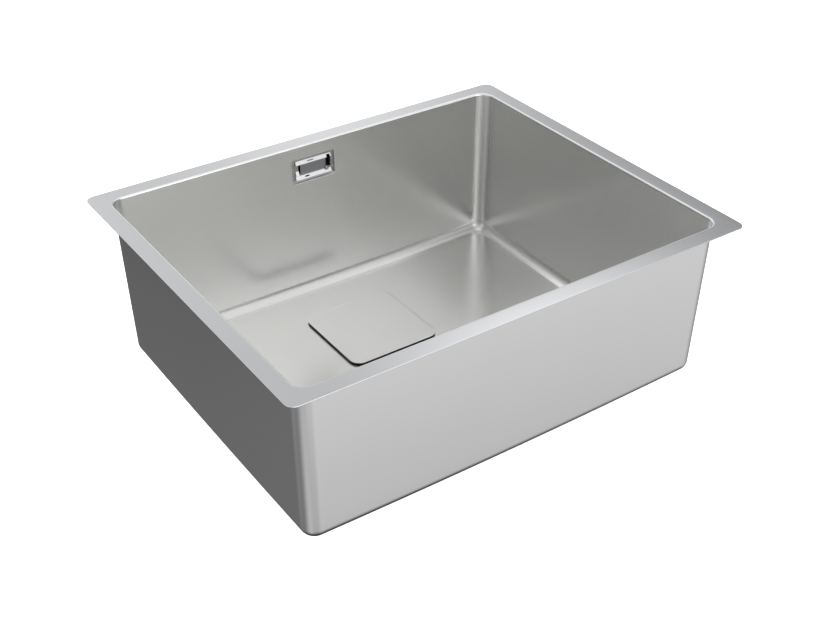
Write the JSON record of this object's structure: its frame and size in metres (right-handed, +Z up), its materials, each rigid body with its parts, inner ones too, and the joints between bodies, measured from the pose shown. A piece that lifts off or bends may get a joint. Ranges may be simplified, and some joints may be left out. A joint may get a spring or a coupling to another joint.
{
  "type": "undermount kitchen sink",
  "caption": "Undermount kitchen sink: satin steel bowl with a flat rim, a covered basket waste and a wall overflow piped to the waste.",
  "frame": {"origin": "centre of the bowl's opening in the plane of the rim's top face", "axes": "+X along the long side to the right, +Y to the back wall with the overflow, +Z up out of the bowl"},
  "size_m": [0.54, 0.449, 0.2854],
  "materials": {
    "satin_steel": "satin",
    "cover_steel": "satin",
    "waste_steel": "bright",
    "chrome": "polished",
    "dark_chrome": "polished",
    "brass": "turned",
    "gasket": "matte",
    "pad": "matte",
    "waste_plastic": "matte",
    "hose_plastic": "satin"
  },
  "bodies": {
    "sink": {"sink_bowl": "satin_steel", "sound_pads": "pad", "strainer_cup": "waste_steel", "upper_gasket": "gasket", "lower_gasket": "gasket", "waste_body": "waste_plastic", "threaded_insert": "brass", "clamp_bolt": "waste_steel", "overflow_frame": "chrome", "overflow_plate": "dark_chrome", "overflow_screw": "chrome", "overflow_gasket": "gasket", "overflow_housing": "waste_plastic", "overflow_hose": "hose_plastic", "hose_washers": "gasket", "union_nuts": "waste_plastic"},
    "basket": {"strainer_basket": "waste_steel", "basket_seal": "gasket", "seal_retainer": "waste_steel", "basket_post": "chrome", "post_nut": "chrome", "post_clip": "waste_steel"},
    "cover": {"drain_cover": "cover_steel", "cover_ring": "cover_steel", "cover_feet": "gasket"}
  },
  "joints": [
    {"name": "basket_lift", "type": "slide", "parent": "sink", "child": "basket", "axis": [0, 0, 1], "range_m": [0, 0.24]},
    {"name": "cover_lift", "type": "slide", "parent": "basket", "child": "cover", "axis": [0, 0, 1], "range_m": [0, 0.2]}
  ]
}
